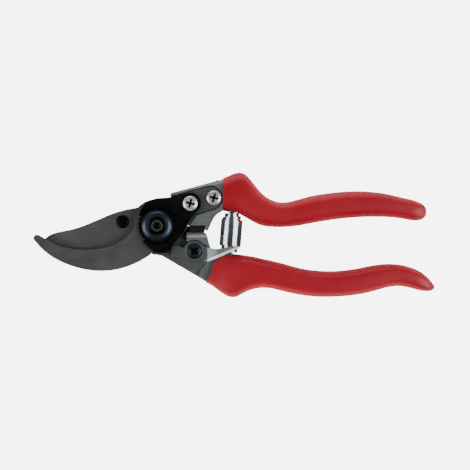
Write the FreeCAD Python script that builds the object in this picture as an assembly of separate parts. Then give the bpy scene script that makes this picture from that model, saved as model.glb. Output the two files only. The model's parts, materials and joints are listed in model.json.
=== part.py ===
"""Bypass pruner, 210 mm long, lying on its side with the jaws closed. Millimetres.

The pivot axis is Z and passes through the origin. The jaws point along -X and the handles along +X.
Z = 0 is the flat underside of the pivot bolt's head. From the back to the front the pivot stack is bolt
head, thrust washer, hub of the lower handle, cutting blade, hook blade, then nut and locking segment.
The lower handle carries the cutting blade and the thumb catch. The upper handle carries the hook blade.
"""

import FreeCAD, Part
import math
import os

V = FreeCAD.Vector

# ---- driving dimensions -------------------------------------------------------------------------
JAW_REACH = 64.5            # pivot to the tip of the hook
HANDLE_REACH = 145.0        # pivot to the tail of the lower handle
UPPER_TAIL_SHORT = 4.2      # how much shorter the upper handle is

BOLT_HEAD_THICK = 3.0
WASHER_THICK = 0.8
LOWER_HUB_THICK = 4.6
BLADE_THICK = 3.0
HOOK_THICK = 4.0
SEGMENT_THICK = 1.8
GRIP_THICK = 17.2           # grips across Z at the palm swell
COAT = 1.2                  # wall of the dipped vinyl

BOLT_DIA = 9.0              # plain shank of the pivot bolt
THREAD_DIA = 8.0            # threaded end of the pivot bolt
BUSH_WALL = 1.3
BLADE_HUB_R = 14.1
HOOK_HUB_R = 13.2
HOOK_HUB_SHIFT = 1.4        # the hook's hub is drawn this far towards the handle
NUT_RIM_R = 9.8
NUT_TEETH = 24
SCREW_HEAD_R = 3.9
SCREW_DIA = 4.0
CATCH_SCREW_DIA = 5.0
SPRING_R = 5.9              # largest outside radius of the volute spring
SPRING_STRIP = 0.7          # thickness of its strip
SPRING_PIN_DIA = 3.6
RIVET_R = 3.45

# ---- clearances ---------------------------------------------------------------------------------
RUNNING_GAP = 0.05          # radial, and between the two blades
SEAT_GAP = 0.3              # around the blade's tang in its pocket
TANG_GAP = 0.55             # around the hook's tang in its recess
SWEEP_GAP = 0.4             # between parts that swing past each other
WEB_GAP = 0.3               # between the stop web and the upper head
BUMPER_GAP = 0.2            # between the closed bumper and its ledge

# ---- heights of the stack -----------------------------------------------------------------------
Z_WASHER = BOLT_HEAD_THICK
Z_HUB = Z_WASHER + WASHER_THICK + RUNNING_GAP
Z_BLADE = Z_HUB + LOWER_HUB_THICK
Z_HOOK = Z_BLADE + BLADE_THICK + RUNNING_GAP
Z_SEGMENT = Z_HOOK + HOOK_THICK
Z_GRIP_MID = GRIP_THICK / 2 + 0.4
RIVET_SEAT = Z_BLADE + BLADE_THICK / 2
RIVET_SHANK_R = RIVET_R * 0.6

# ---- places -------------------------------------------------------------------------------------
SEGMENT_SCREW_AT = (17.3, 11.7)
HOOK_SCREW_AT = (29.6, 14.6)
TANG_END_AT = (27.6, 14.5)  # centre of the round end of the hook's tang
CATCH_SCREW_AT = (19.4, -13.2)
BLADE_TANG_END = (19.2, -17.4)
RIVET_AT = (-18.2, 2.2)
SPRING_TOP_AT = (39.3, 7.2)
SPRING_FOOT_AT = (37.7, -14.5)
TANG_END_R = 6.0
LOWER_HUB_R = BLADE_HUB_R - 0.1
MOUTH_X = 34.3              # where the upper grip starts
STOP_LEDGE_Y = -3.5         # closed stop on the lower handle
STOP_FACE_Y = 0.2           # closed stop on the upper handle


# ---- drawing helpers ----------------------------------------------------------------------------
class Outline:
    """A closed flat outline drawn point by point with lines, arcs and smooth curves."""

    def __init__(self, x, y):
        self.start = self.at = V(x, y, 0)
        self.edges = []

    def line(self, *points):
        for x, y in points:
            end = V(x, y, 0)
            self.edges.append(Part.LineSegment(self.at, end).toShape())
            self.at = end
        return self

    def arc(self, via, end):
        self.edges.append(Part.Arc(self.at, V(*via, 0), V(*end, 0)).toShape())
        self.at = V(*end, 0)
        return self

    def around(self, centre, end_deg):
        """An arc about a centre, from here to an angle, the short way round."""
        cx, cy = centre
        radius = math.hypot(self.at.x - cx, self.at.y - cy)
        start = math.degrees(math.atan2(self.at.y - cy, self.at.x - cx))
        turn = (end_deg - start + 180) % 360 - 180
        return self.arc(polar(radius, start + turn / 2, centre), polar(radius, start + turn, centre))

    def curve(self, *points):
        curve = Part.BSplineCurve()
        curve.interpolate([self.at] + [V(x, y, 0) for x, y in points])
        self.edges.append(curve.toShape())
        self.at = V(*points[-1], 0)
        return self

    def prism(self, z0, z1, grow=0.0):
        """A plate with this outline between two heights, grown sideways by a clearance."""
        if self.at.distanceToPoint(self.start) > 1e-6:
            self.line((self.start.x, self.start.y))
        face = Part.Face(Part.Wire(self.edges))
        if grow:
            face = face.makeOffset2D(grow, join=0)
        face.translate(V(0, 0, z0))
        return face.extrude(V(0, 0, z1 - z0))


def polar(radius, degrees, centre=(0, 0)):
    angle = math.radians(degrees)
    return centre[0] + radius * math.cos(angle), centre[1] + radius * math.sin(angle)


def disc(radius, z0, z1, at=(0, 0)):
    return Part.makeCylinder(radius, z1 - z0, V(at[0], at[1], z0))


def turned(profile, at=(0, 0)):
    """A solid of revolution about a vertical axis, from (radius, z) points."""
    wire = Part.makePolygon([V(r, 0, z) for r, z in profile + profile[:1]])
    solid = Part.Face(wire).revolve(V(0, 0, 0), V(0, 0, 1), 360)
    solid.translate(V(at[0], at[1], 0))
    return solid


def fuse(first, *others):
    return first.multiFuse(list(others)).removeSplitter()


def cut(body, *tools):
    for tool in tools:
        body = body.cut(tool)
    return body.removeSplitter()


def chamfer_level(solid, z, size, longer_than):
    """Breaks the long sharp edges that lie in the plane at height z."""
    level = [e for e in solid.Edges if abs(e.BoundBox.ZMin - z) < 1e-4 and abs(e.BoundBox.ZMax - z) < 1e-4]
    return solid.makeChamfer(size, [e for e in level if e.Length > longer_than])


def save(name, shape):
    shape.exportStep(os.path.join("parts", name + ".step"))


# ---- jaws ---------------------------------------------------------------------------------------
JAW_ROOT = 12.0             # jaws stretch beyond this distance from the pivot
JAW_DRAWN = 64.5            # reach that the jaw outlines are drawn for


def jaw(x, y):
    """A jaw point as drawn, stretched to the reach that is set."""
    if x > -JAW_ROOT:
        return x, y
    return -JAW_ROOT + (x + JAW_ROOT) * (JAW_REACH - JAW_ROOT) / (JAW_DRAWN - JAW_ROOT), y


HEEL_AT = (-3.3, -14.8)     # back corner of the hook's jaw, which meets the catch when fully open
TANG_RISE = 14.0            # slope of the hook's tang, degrees
HUB_NECK_R = 11.1           # the hook's hub where the catch works
LOBE_R = 12.4               # lobe that the locked catch holds
LOBE_FROM, LOBE_TO = -55.0, -65.0
HUB_TOP_DEG = 81.9          # where the hook's hub runs into the upper edge of its tang


def hook_outline():
    hub = (HOOK_HUB_SHIFT, 0)
    left = (HOOK_HUB_SHIFT - HOOK_HUB_R, 0)
    o = Outline(*HEEL_AT)
    o.curve(jaw(-12, -19.9), jaw(-21, -22.8), jaw(-30, -23.6), jaw(-40, -22.3), jaw(-50, -18.8),
            jaw(-58, -13.9), jaw(-63.5, -8.2))
    o.arc(jaw(-64.5, -5.9), jaw(-62.6, -4.6))
    o.curve(jaw(-58.7, -6.7), jaw(-54.5, -9.2), jaw(-48, -11.4), jaw(-38.4, -12.5), jaw(-28.4, -11.6),
            jaw(-20.3, -8.8), jaw(-14.6, -4.6), left)
    o.around(hub, HUB_TOP_DEG)
    o.line((o.at.x + 3.6, o.at.y + 1.9))
    o.line(polar(TANG_END_R, TANG_RISE + 90, TANG_END_AT))
    o.arc(polar(TANG_END_R, TANG_RISE, TANG_END_AT), polar(TANG_END_R, TANG_RISE - 90, TANG_END_AT))
    o.line((20.3, 6.0), (16.4, 0.6), (14.4, -2.8), polar(HUB_NECK_R, -32))
    o.around((0, 0), LOBE_FROM)
    o.line(polar(LOBE_R, LOBE_FROM))
    o.around((0, 0), LOBE_TO)
    o.line(polar(HUB_NECK_R, LOBE_TO))
    o.around((0, 0), -96)
    return o


def hook_blade():
    body = hook_outline().prism(Z_HOOK, Z_SEGMENT)
    return cut(body, double_d(RUNNING_GAP, Z_HOOK - 1, Z_SEGMENT + 1),
               disc(SCREW_DIA / 2 + RUNNING_GAP, Z_HOOK - 1, Z_SEGMENT + 1, HOOK_SCREW_AT),
               disc(SCREW_DIA / 2 + RUNNING_GAP, Z_HOOK - 1, Z_SEGMENT + 1, SEGMENT_SCREW_AT))


TANG_SLOPE = -31.5          # lower edge of the lower head, from the hub down to its grip
BLADE_TANG_R = TANG_END_R + 0.2


def blade_tang(grow, z0, z1):
    """The blade's tang: a band along the lower head with a round end, and an eye for the catch's screw."""
    r = BLADE_TANG_R + grow
    back = 26
    lower = polar(r, TANG_SLOPE - 90, BLADE_TANG_END)
    upper = polar(r, TANG_SLOPE + 90, BLADE_TANG_END)
    along = polar(back, TANG_SLOPE + 180)
    o = Outline(lower[0] + along[0], lower[1] + along[1])
    o.line(lower)
    o.arc(polar(r, TANG_SLOPE, BLADE_TANG_END), upper)
    o.line((upper[0] + along[0], upper[1] + along[1]))
    band = o.prism(z0, z1).common(Part.makeBox(60, 60, z1 - z0, V(-BLADE_HUB_R * 0.2, -50, z0)))
    return fuse(band, disc(CATCH_SCREW_DIA / 2 + 2.4 + grow, z0, z1, CATCH_SCREW_AT))


def blade_edge():
    """Points along the cutting edge, from the tip to the hub."""
    return [jaw(-59.3, -7.3), jaw(-52.5, -11.4), jaw(-42, -15.0), jaw(-31, -15.3), jaw(-21.5, -12.6),
            jaw(-14.5, -8.9)]


def blade_bevel():
    """Everything ground away behind the cutting edge: a wedge that follows it."""
    width, land, beyond = 8.0, 0.3, 3.0
    points = blade_edge()
    curve = Part.BSplineCurve()
    curve.interpolate([V(x, y, 0) for x, y in points])
    slope = (BLADE_THICK - land) / width
    sections = []
    steps = 9
    for i in range(steps + 1):
        t = curve.FirstParameter + (curve.LastParameter - curve.FirstParameter) * (-0.03 + 1.01 * i / steps)
        at, along = curve.value(t), curve.tangent(t)[0]
        out = V(along.y, -along.x, 0)
        taper = min(1.0, 0.35 + i * 0.25)
        inner = at - out * width * taper
        outer = at + out * beyond
        top = Z_BLADE + (BLADE_THICK - land) + slope * beyond
        inner.z, outer.z = Z_BLADE, top
        sections.append(Part.makePolygon([inner, outer, V(outer.x, outer.y, Z_BLADE - 2),
                                          V(inner.x, inner.y, Z_BLADE - 2), inner]))
    return Part.makeLoft(sections, True, False)


def cutting_blade():
    top = Z_BLADE + BLADE_THICK
    edge = blade_edge()
    root = polar(BLADE_HUB_R, 213)
    o = Outline(*polar(BLADE_HUB_R, 100))
    o.curve(jaw(-8.3, 10.2), jaw(-14.3, 8.9), jaw(-21.5, 7.1), jaw(-33, 2.4), jaw(-46, -2.1), jaw(-57.9, -5.9), edge[0])
    o.curve(*edge[1:])
    o.line(root)
    o.line((0, 0))
    jaw_part = o.prism(Z_BLADE, top)
    shoulder = Outline(0, 0)
    shoulder.line((-3.0, -14.6), (2.3, -15.3), polar(BLADE_TANG_R, TANG_SLOPE - 90, BLADE_TANG_END))
    body = fuse(jaw_part, disc(BLADE_HUB_R, Z_BLADE, top), blade_tang(0, Z_BLADE, top),
                shoulder.prism(Z_BLADE, top))
    body = body.cut(blade_bevel())
    return cut(body, disc(BOLT_DIA / 2 + RUNNING_GAP, Z_BLADE - 1, top + 1),
               disc(CATCH_SCREW_DIA / 2 + RUNNING_GAP, Z_BLADE - 1, top + 1, CATCH_SCREW_AT),
               disc(RIVET_R, RIVET_SEAT, top + 1, RIVET_AT),
               disc(RIVET_SHANK_R, Z_BLADE - 1, top + 1, RIVET_AT))


# ---- pivot hardware -----------------------------------------------------------------------------
NUT_TOP = Z_SEGMENT + 4.6
FLATS = BOLT_DIA - 1.4      # across the two flats that lock the bolt to the hook
BOLT_CENTRE_R = 1.3         # turning centre in the bolt's end


def double_d(grow, z0, z1):
    half = FLATS / 2 + grow
    return disc(BOLT_DIA / 2 + grow, z0, z1).common(Part.makeBox(2 * half, 40, z1 - z0, V(-half, -20, z0)))


def pivot_bolt():
    head_r = BOLT_DIA / 2 + 4.2
    head = turned([(0, 0), (head_r - 1.4, 0), (head_r, 1.2), (head_r, BOLT_HEAD_THICK),
                   (0, BOLT_HEAD_THICK)])
    shank = disc(BOLT_DIA / 2, BOLT_HEAD_THICK - 0.5, Z_HOOK)
    key = double_d(0, Z_HOOK - 0.2, Z_SEGMENT)
    r = THREAD_DIA / 2
    end = turned([(0, Z_SEGMENT), (r, Z_SEGMENT), (r, NUT_TOP - 0.5), (r - 1.1, NUT_TOP + 0.5),
                  (BOLT_CENTRE_R, NUT_TOP + 0.5), (0, NUT_TOP - 0.9)])
    return fuse(head, shank, key, end)


def discs_round(radius, size, z0, z1, angles):
    """Small discs whose centres stand at these angles on a circle."""
    return [disc(size, z0, z1, polar(radius, a)) for a in angles]


NUT_STEP = 360 / NUT_TEETH
NOTCH_R = 0.55              # notches in the nut's rim
TOOTH_R = 0.42              # teeth of the segment that stand in them


def pivot_nut():
    rim_top = Z_SEGMENT + SEGMENT_THICK + 0.3
    bore = THREAD_DIA / 2 + RUNNING_GAP / 2
    crown = NUT_RIM_R - 1.4
    body = turned([(bore, Z_SEGMENT), (NUT_RIM_R, Z_SEGMENT), (NUT_RIM_R, rim_top - 0.4),
                   (NUT_RIM_R - 0.4, rim_top), (crown, rim_top), (crown - 0.3, rim_top + 0.7),
                   (crown - 1.4, rim_top + 1.6), (crown - 2.8, NUT_TOP - 0.25), (bore + 0.9, NUT_TOP),
                   (bore, NUT_TOP - 0.7)])
    angles = [i * NUT_STEP for i in range(NUT_TEETH)]
    return cut(body, *discs_round(NUT_RIM_R, NOTCH_R, Z_SEGMENT - 1, rim_top + 1, angles))


def locking_segment():
    """A plate hooked round the nut, with teeth in the nut's notches, held by one screw."""
    z1 = Z_SEGMENT + SEGMENT_THICK
    inner = NUT_RIM_R + 0.25
    screw_end = 5.5
    rise = 17.0
    first, last = 150, -132
    o = Outline(*polar(inner, first))
    o.line(polar(inner + 0.9, first - 1))
    o.curve(polar(inner + 2.0, 132), polar(inner + 3.4, 112), polar(inner + 4.2, 92), (5.0, 14.6))
    o.line((7.6, 15.1), polar(screw_end, rise + 90, SEGMENT_SCREW_AT))
    o.arc(polar(screw_end, rise, SEGMENT_SCREW_AT), polar(screw_end, rise - 75, SEGMENT_SCREW_AT))
    o.line((16.0, 1.2), (14.2, -2.6), (10.9, -6.8), (8.4, -9.8), (7.0, -12.6))
    o.curve((3.6, -14.2), (0.2, -14.0), polar(inner + 2.4, -108), polar(inner + 0.9, last))
    o.line(polar(inner, last))
    o.arc(polar(inner, (first + last) / 2), polar(inner, first))
    body = o.prism(Z_SEGMENT, z1)
    engaged = [i * NUT_STEP for i in range(NUT_TEETH // 2 - NUT_TEETH, NUT_TEETH // 2)
               if last < i * NUT_STEP - NUT_STEP / 4 and i * NUT_STEP + NUT_STEP / 4 < first]
    body = fuse(body, *discs_round(inner - 0.1, TOOTH_R, Z_SEGMENT, z1, engaged))
    return cut(body, disc(SCREW_DIA / 2 + RUNNING_GAP, Z_SEGMENT - 1, z1 + 1, SEGMENT_SCREW_AT))


def thrust_washer():
    return disc(BOLT_DIA / 2 + 4.6, Z_WASHER, Z_WASHER + WASHER_THICK).cut(
        disc(BOLT_DIA / 2 + RUNNING_GAP, 0, Z_HUB))


def pivot_bush():
    outside = disc(BOLT_DIA / 2 + BUSH_WALL, Z_HUB, Z_BLADE)
    return outside.cut(disc(BOLT_DIA / 2 + RUNNING_GAP, 0, Z_BLADE + 1))


RECESS_REACH = 2.3          # length of one arm of the driver recess
RECESS_ARM = 0.95           # width of an arm
RECESS_TURN = 15            # degrees


def cross_recess(z_top, at):
    """A cross-head driver recess: four tapering arms and a point."""
    reach = RECESS_REACH
    arms = []
    for turn in (RECESS_TURN, RECESS_TURN + 90):
        arm = Part.makeBox(2 * reach, RECESS_ARM, 3, V(-reach, -RECESS_ARM / 2, z_top - 1.1))
        arm.rotate(V(0, 0, 0), V(0, 0, 1), turn)
        arms.append(arm)
    cone = Part.makeCone(0.4, reach, 2.4, V(0, 0, z_top - 1.9))
    taper = Part.makeCone(reach * 0.45, reach * 1.15, 2.0, V(0, 0, z_top - 1.6))
    star = fuse(arms[0], arms[1]).common(taper)
    star = fuse(star, cone.common(Part.makeCylinder(reach / 2, 3, V(0, 0, z_top - 1.9))))
    star.translate(V(at[0], at[1], 0))
    return star


def pan_screw(at, z_seat, z_end, dia):
    """A low domed cross-head screw whose head sits on z_seat and whose shank ends at z_end."""
    height = 1.5
    r = SCREW_HEAD_R
    head = turned([(0, z_seat), (r, z_seat), (r, z_seat + height * 0.4), (r * 0.88, z_seat + height * 0.78),
                   (r * 0.6, z_seat + height), (0, z_seat + height + 0.1)], at)
    shank = turned([(0, z_end), (dia / 2 - 0.6, z_end), (dia / 2, z_end + 0.6), (dia / 2, z_seat + 0.2),
                    (0, z_seat + 0.2)], at)
    return cut(fuse(head, shank), cross_recess(z_seat + height, at))


# ---- thumb catch --------------------------------------------------------------------------------
CATCH_BACK = Z_HOOK + 0.65
CATCH_FRONT = Z_SEGMENT - 0.25
NOSE_AT = (7.8, -10.3)      # corner of the nose that stands beside the hook's lobe when locked


def thumb_catch():
    o = Outline(*NOSE_AT)
    o.line((7.5, -15.9))
    o.curve((10.8, -16.6), (16.1, -17.7), (22.0, -18.5), (26.4, -18.6))
    o.curve((31.0, -16.9), (36.5, -14.5), (42.0, -11.9))
    o.arc((42.6, -11.2), (41.9, -10.6))
    o.curve((36.0, -11.3), (30.5, -12.0), (26.5, -11.2), (24.0, -10.2))
    o.around(CATCH_SCREW_AT, 153)
    o.line((13.6, -11.4), (12.7, -11.4), (12.0, -10.5))
    plan = o.prism(0, 30)
    side = Part.makePolygon([V(x, 0, z) for x, z in (
        (0, CATCH_BACK), (26.6, CATCH_BACK), (30.4, CATCH_BACK + 4.1), (50, CATCH_BACK + 4.5),
        (50, CATCH_FRONT + 3.6), (31.2, CATCH_FRONT + 3.2), (26.2, CATCH_FRONT),
        (0, CATCH_FRONT), (0, CATCH_BACK))])
    slab = Part.Face(side).extrude(V(0, -30, 0))
    body = plan.common(slab)
    well = disc(SCREW_HEAD_R + 0.35, CATCH_FRONT - 1.3, CATCH_FRONT + 5, CATCH_SCREW_AT)
    return cut(body, well, disc(CATCH_SCREW_DIA / 2 + RUNNING_GAP, 0, 30, CATCH_SCREW_AT))


def catch_washer():
    """A coned spring washer that drags on the catch and holds it where it is put."""
    z0, z1 = Z_BLADE + BLADE_THICK + 0.02, CATCH_BACK - 0.02
    inner, outer, wall = CATCH_SCREW_DIA / 2 + 0.15, CATCH_SCREW_DIA / 2 + 2.2, 0.35
    return turned([(inner, z1 - wall), (inner, z1), (inner + 0.6, z1), (outer, z0 + wall), (outer, z0),
                   (outer - 0.6, z0)], CATCH_SCREW_AT)


# ---- handles ------------------------------------------------------------------------------------
# Grip sections across X: station from the mouth (0) to the tail (1), top and bottom edge, half thickness.
HALF = GRIP_THICK / 2
UPPER_SECTIONS = [
    (-0.05, 23.6, 7.8, 0.84), (0.0, 25.0, 7.7, 0.95), (0.045, 26.9, 7.5, 0.97), (0.085, 27.8, 6.0, 0.98),
    (0.115, 26.4, 4.1, 0.99),
    (0.15, 22.2, 2.0, 1.0), (0.19, 17.2, 0.2, 1.0), (0.24, 13.5, -0.6, 1.0), (0.29, 12.3, -0.7, 0.99),
    (0.35, 13.2, -0.2, 0.98), (0.45, 16.0, 1.6, 0.99), (0.57, 17.7, 3.6, 1.0), (0.69, 18.1, 4.6, 0.97),
    (0.8, 16.8, 4.6, 0.92), (0.9, 14.4, 3.4, 0.84), (0.96, 12.6, 2.8, 0.74), (0.99, 10.6, 4.2, 0.5),
    (1.0, 9.0, 6.0, 0.2)]
LOWER_SECTIONS = [
    (-0.09, -15.8, -29.6, 0.55), (-0.04, -15.4, -32.4, 0.62), (0.0, -15.0, -35.6, 0.70),
    (0.03, -14.8, -37.2, 0.77), (0.06, -14.9, -37.3, 0.83), (0.1, -15.4, -35.1, 0.9),
    (0.15, -16.3, -33.1, 0.96), (0.2, -17.5, -32.5, 1.0), (0.27, -19.3, -33.9, 0.99),
    (0.36, -22.0, -36.1, 0.99), (0.45, -23.5, -37.2, 1.0), (0.54, -23.6, -37.1, 1.0),
    (0.64, -22.2, -36.0, 0.97), (0.72, -20.5, -34.0, 0.94), (0.82, -20.1, -31.6, 0.88),
    (0.89, -21.8, -32.7, 0.82), (0.95, -25.2, -34.2, 0.7), (0.985, -29.0, -34.0, 0.45),
    (1.0, -31.2, -33.0, 0.15)]


def grip_section(x, top, bottom, half_z, shrink):
    """A rounded rectangle across X, drawn as one smooth closed curve."""
    mid_y, half_y = (top + bottom) / 2, (top - bottom) / 2 - shrink
    half_z = half_z - shrink
    power = 2 / 2.9
    points = []
    for i in range(16):
        a = 2 * math.pi * i / 16
        c, s = math.cos(a), math.sin(a)
        points.append(V(x, mid_y + half_y * math.copysign(abs(c) ** power, c),
                        Z_GRIP_MID + half_z * math.copysign(abs(s) ** power, s)))
    curve = Part.BSplineCurve()
    curve.interpolate(points, PeriodicFlag=True)
    return Part.Wire(curve.toShape())


def grip_loft(sections, tail, shrink):
    """The grip's outer shape, or its metal core when shrunk by the coat's wall."""
    wires = []
    for station, top, bottom, share in sections:
        if min((top - bottom) / 2, HALF * share) < 2.2 * shrink:
            continue
        x = MOUTH_X + (tail - MOUTH_X) * station
        wires.append(grip_section(x, top, bottom, HALF * share, shrink))
    return Part.makeLoft(wires, True, False)


HEAD_BACK = Z_HUB + 0.4
HEAD_FRONT = Z_SEGMENT + 0.3
UPPER_TAIL = HANDLE_REACH - UPPER_TAIL_SHORT
BUMPER_X = (16.6, 24.8)
BUMPER_SET = 1.4            # how deep the bumper sits in the upper head
NUT_ACROSS = 7.0
NUT_THICK = 3.0


def hexagon(across, z0, z1, at):
    o = Outline(*polar(across / math.sqrt(3), 30, at))
    o.line(*[polar(across / math.sqrt(3), 30 + 60 * i, at) for i in range(1, 6)])
    return o.prism(z0, z1)


def tang_recess():
    """The hook's tang and its hub, with clearance, let into the front of the upper head."""
    return hook_outline().prism(Z_HOOK, HEAD_FRONT + 5, TANG_GAP)


BUMPER_BACK = HEAD_BACK + 1.6
BUMPER_FRONT = HEAD_FRONT - 0.5
BUMPER_ROOT_IN = 1.5        # how much narrower the root is than the cushion, on each side


def bumper_root(grow):
    """The bumper's root, which sits in a slot of the upper head."""
    x0, x1 = BUMPER_X
    return Part.makeBox(x1 - x0 - 2 * BUMPER_ROOT_IN + 2 * grow, BUMPER_SET + 0.1 + grow,
                        BUMPER_FRONT - BUMPER_BACK + 2 * grow,
                        V(x0 + BUMPER_ROOT_IN - grow, STOP_FACE_Y - 0.1, BUMPER_BACK - grow))


def bumper():
    z0, z1 = BUMPER_BACK, BUMPER_FRONT
    x0, x1 = BUMPER_X
    bottom = STOP_LEDGE_Y + BUMPER_GAP
    cushion = Part.makeBox(x1 - x0, STOP_FACE_Y - bottom, z1 - z0, V(x0, bottom, z0))
    cushion = cushion.makeFillet(0.8, [e for e in cushion.Edges if abs(e.BoundBox.YMax - bottom) < 1e-4])
    return fuse(cushion, bumper_root(0))


def spring_axis():
    """Start, unit direction and length of the line from the lower seat to the upper seat of the spring."""
    foot, top = V(*SPRING_FOOT_AT, Z_GRIP_MID), V(*SPRING_TOP_AT, Z_GRIP_MID)
    along = top - foot
    return foot, along.normalize(), foot.distanceToPoint(top)


PIN_FLANGE_R = 3.1
PIN_FLANGE = COAT + 0.4
PIN_PEG = 3.2
PIN_SHANK = 4.0


def spring_pin(grow, seat, into):
    """A flanged peg: its peg stands in the end of the spring and its shank is driven into the handle."""
    def bar(radius, start, end):
        return Part.makeCylinder(radius, end - start, seat + into * start, into)
    parts = [bar(PIN_FLANGE_R + grow, 0, PIN_FLANGE), bar(SPRING_PIN_DIA / 2 + grow, PIN_FLANGE - 0.2,
                                                        PIN_FLANGE + PIN_SHANK)]
    if not grow:
        parts.append(bar(SPRING_PIN_DIA / 2, -PIN_PEG, 0.2))
    return fuse(*parts)


def spring_seat(upper):
    foot, along, length = spring_axis()
    return (foot + along * length, along) if upper else (foot, along * -1)


def seat_bore(upper):
    """The pin's bore through the coat and into the core, with the flange's sinking left open above."""
    seat, into = spring_seat(upper)
    mouth = Part.makeCylinder(PIN_FLANGE_R + 1.2, 4, seat - into * 4, into)
    return fuse(spring_pin(0.03, seat, into), mouth)


def upper_head():
    clear = BLADE_HUB_R + SWEEP_GAP
    o = Outline(6.0, STOP_FACE_Y)
    o.line((24.9, STOP_FACE_Y), (24.9, -1.9))
    o.arc((25.7, -2.5), (26.7, -1.7))
    o.curve((27.6, 0.3), (29.4, 3.9), (33.2, 7.2))
    o.line((MOUTH_X, 8.2), (MOUTH_X, 24.4), (8.0, 17.4))
    o.arc((7.2, 17.0), (6.9, 16.1))
    head = o.prism(HEAD_BACK, HEAD_FRONT)
    head = chamfer_level(head, HEAD_FRONT, 1.8, 25)
    head = chamfer_level(head, HEAD_BACK, 0.8, 25)
    return head.cut(disc(clear, HEAD_BACK - 1, HEAD_FRONT + 1))


def upper_handle():
    core = grip_loft(UPPER_SECTIONS, UPPER_TAIL, COAT)
    body = fuse(upper_head(), core)
    body = body.cut(tang_recess())
    for at in (HOOK_SCREW_AT, SEGMENT_SCREW_AT):
        body = body.cut(disc(SCREW_DIA / 2 + RUNNING_GAP, 0, 30, at))
        body = body.cut(hexagon(NUT_ACROSS + 0.2, HEAD_BACK - 5, HEAD_BACK + NUT_THICK - 0.4, at))
    return cut(body, bumper_root(0.05), seat_bore(True))


def upper_grip():
    shell = grip_loft(UPPER_SECTIONS, UPPER_TAIL, 0).cut(grip_loft(UPPER_SECTIONS, UPPER_TAIL, COAT))
    front = Part.makeBox(60, 80, 60, V(MOUTH_X - 60, -20, -20))
    return shell.cut(front).cut(seat_bore(True))


RAISED_FROM_X = 15.3        # the lower head is raised beside the blade beyond here
STOP_BEVEL = 4.4            # bevel along the stop block's ledge, measured from 1 mm outside it
LOWER_MOUTH = [(33.8, -15.8), (31.2, -17.6), (29.3, -20.3), (28.5, -23.4), (27.2, -26.6), (25.4, -29.2)]


def lower_mouth():
    """Everything in front of the slanted line where the lower coat starts."""
    o = Outline(34.6, -10)
    o.line(*LOWER_MOUTH[:2])
    o.curve(*LOWER_MOUTH[2:])
    o.line((24, -34), (10, -34), (10, -10))
    return o.prism(-10, 40)


def lower_level(z0, z1):
    """Plan of the lower head: hub, stop block, and the part that runs into the grip."""
    o = Outline(*polar(LOWER_HUB_R - 0.3, -14))
    o.line((16.5, STOP_LEDGE_Y), (24.9, STOP_LEDGE_Y), (25.8, -4.6), (26.8, -8.3), (28.1, -12.5))
    o.curve((29.8, -14.6), LOWER_MOUTH[0])
    o.line(LOWER_MOUTH[1])
    o.curve(*LOWER_MOUTH[2:])
    o.line((2.2, -15.7), (-3.0, -14.9), (0, 0))
    return o.prism(z0, z1)


def catch_clear():
    """Room for the catch over the lower head, where the stop block stands beside it."""
    o = Outline(0, -40)
    o.line((40, -40), (40, -12.2), (30.0, -12.2), (26.2, -10.6), (24.2, -9.6))
    o.around(CATCH_SCREW_AT, 125)
    o.line((14.6, -7.6), (0, -7.6))
    return o.prism(Z_BLADE + BLADE_THICK + 0.2, 40)


def rivet_lug():
    """The arm of the lower head behind the cutting blade, which the rivet goes through."""
    reach = math.degrees(math.atan2(RIVET_AT[1], RIVET_AT[0]))
    lug_r, hub_r = 4.9, 12.0
    o = Outline(*polar(lug_r, reach + 90, RIVET_AT))
    o.line(polar(hub_r, reach + 80), polar(hub_r, reach - 80), polar(lug_r, reach - 90, RIVET_AT))
    o.arc(polar(lug_r, reach, RIVET_AT), polar(lug_r, reach + 90, RIVET_AT))
    return o.prism(Z_HUB, Z_BLADE)


def tang_pocket():
    """The blade's tang with clearance, open towards the lower edge of the head."""
    z0, z1 = Z_BLADE, Z_BLADE + BLADE_THICK + 0.2
    tang = blade_tang(SEAT_GAP, z0, z1)
    below = tang.copy()
    below.translate(V(*polar(6, TANG_SLOPE - 90), 0))
    return fuse(tang, below, disc(BLADE_HUB_R + 1.2, z0, z1))


WEB_FROM_X = 13.0           # where the web behind the bumper leaves the hub


def stop_web():
    """A thin web behind the bumper that joins the stop block to the hub."""
    y0, y1 = STOP_LEDGE_Y - 1, STOP_FACE_Y - WEB_GAP
    length = BUMPER_X[1] - SWEEP_GAP - WEB_FROM_X
    return Part.makeBox(length, y1 - y0, BUMPER_BACK - SWEEP_GAP - Z_HUB, V(WEB_FROM_X, y0, Z_HUB))


def lower_handle():
    core = grip_loft(LOWER_SECTIONS, HANDLE_REACH, COAT).cut(lower_mouth()).cut(seat_bore(False))
    base = fuse(lower_level(Z_HUB, Z_BLADE), disc(LOWER_HUB_R, Z_HUB, Z_BLADE), rivet_lug(), stop_web())
    raised = lower_level(Z_BLADE - 0.1, HEAD_FRONT - 0.6)
    y, z = STOP_LEDGE_Y + 1, HEAD_FRONT + 1
    bevel = Part.makePolygon([V(0, y, z - STOP_BEVEL), V(0, y - STOP_BEVEL, z), V(0, y, z),
                              V(0, y, z - STOP_BEVEL)])
    raised = raised.cut(Part.Face(bevel).extrude(V(BUMPER_X[1] * 2, 0, 0)))
    hub_space = Part.makeBox(40, 80, 40, V(RAISED_FROM_X - 40, -60, Z_BLADE - 1))
    raised = raised.cut(catch_clear()).cut(tang_pocket()).cut(hub_space)
    body = fuse(base, raised, core)
    return cut(body, disc(BOLT_DIA / 2 + BUSH_WALL + 0.02, 0, 30),
               disc(CATCH_SCREW_DIA / 2 + 0.02, 0, 11, CATCH_SCREW_AT),
               disc(RIVET_SHANK_R, 0, 30, RIVET_AT), seat_bore(False))


def lower_grip():
    shell = grip_loft(LOWER_SECTIONS, HANDLE_REACH, 0).cut(grip_loft(LOWER_SECTIONS, HANDLE_REACH, COAT))
    return shell.cut(lower_mouth()).cut(seat_bore(False))


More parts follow.
